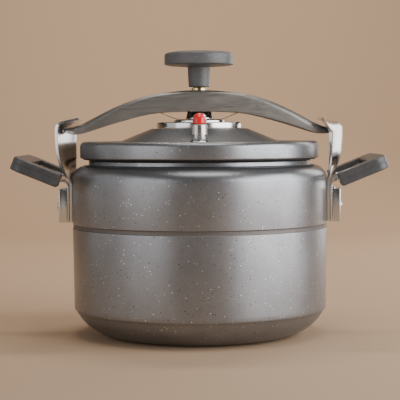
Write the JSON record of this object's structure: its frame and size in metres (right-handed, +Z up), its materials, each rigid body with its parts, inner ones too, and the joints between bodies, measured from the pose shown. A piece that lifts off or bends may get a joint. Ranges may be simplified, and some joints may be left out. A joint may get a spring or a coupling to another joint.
{
  "type": "stovetop pressure cooker",
  "caption": "Stovetop pressure cooker with a domed lid held down by a swing-over clamp bow, a screw knob, hook straps on the pot and two open loop handles.",
  "frame": {"origin": "middle of the flat base of the pot, on the surface it stands on", "axes": "+X towards the right-hand handle, +Z up along the pot axis, -Y towards the front, where the safety valve stands"},
  "size_m": [0.3474, 0.2412, 0.2676],
  "materials": {
    "stone_coat": "dark granite-effect non-stick coat with fine light specks on cast aluminium",
    "brushed_steel": "brushed along its length",
    "polished_steel": "polished stainless steel",
    "dark_plastic": "matt dark grey phenolic plastic",
    "brass": "turned, plain",
    "red_silicone": "glossy red silicone",
    "black_rubber": "matt black"
  },
  "bodies": {
    "pot": {"pot_body": "stone_coat", "left_hook_strap": "polished_steel", "left_handle_bracket": "polished_steel", "left_handle_grip": "dark_plastic", "left_bracket_cover": "polished_steel", "left_lower_rivet": "polished_steel", "left_upper_rivet": "polished_steel", "left_cover_rivet": "polished_steel", "right_hook_strap": "polished_steel", "right_handle_bracket": "polished_steel", "right_handle_grip": "dark_plastic", "right_bracket_cover": "polished_steel", "right_lower_rivet": "polished_steel", "right_upper_rivet": "polished_steel", "right_cover_rivet": "polished_steel"},
    "lid": {"lid_shell": "stone_coat", "lid_gasket": "black_rubber", "pressure_cap": "polished_steel", "safety_valve_body": "polished_steel", "safety_valve_nut": "polished_steel", "safety_valve_washer": "black_rubber", "safety_valve_locknut": "polished_steel", "safety_valve_retainer": "polished_steel", "safety_valve_spring": "polished_steel", "steam_vent_pipe": "polished_steel", "steam_vent_washer": "black_rubber", "steam_vent_locknut": "polished_steel"},
    "bow": {"clamp_bow": "brushed_steel", "bow_bush": "brass"},
    "foot": {"pressure_foot": "polished_steel", "leaf_spring": "polished_steel"},
    "screw": {"clamp_screw": "polished_steel", "foot_clip": "brushed_steel", "knob_insert": "brass", "clamp_knob": "dark_plastic"},
    "valve_button": {"safety_valve_stem": "polished_steel", "safety_valve_button": "red_silicone"},
    "weight": {"regulator_weight": "polished_steel", "regulator_cap": "dark_plastic"}
  },
  "joints": [
    {"name": "lid_lift", "type": "slide", "parent": "pot", "child": "lid", "axis": [0, 0, 1], "range_m": [0, 0.022]},
    {"name": "bow_swing", "type": "hinge", "parent": "lid", "child": "bow", "pos_m": [0, 0, 0.22], "axis": [0, 0, 1], "range_deg": [0, 62]},
    {"name": "foot_travel", "type": "slide", "parent": "bow", "child": "foot", "axis": [0, 0, 1], "range_m": [0, 0.00751]},
    {"name": "knob_turn", "type": "hinge", "parent": "foot", "child": "screw", "pos_m": [0, 0, 0.26], "axis": [0, 0, 1], "range_deg": [0, 1080]},
    {"name": "safety_button_rise", "type": "slide", "parent": "lid", "child": "valve_button", "axis": [0, 0, 1], "range_m": [0, 0.0025], "stiffness_N_per_m": 150, "deforming": ["safety_valve_spring"]},
    {"name": "regulator_lift", "type": "slide", "parent": "lid", "child": "weight", "axis": [0, 0, 1], "range_m": [0, 0.004]}
  ],
  "couplings": [
    {"joint": "lid_lift", "follows": "bow_swing", "m_per_rad": 0.02},
    {"joint": "foot_travel", "follows": "knob_turn", "m_per_rad": 0.00039789}
  ]
}
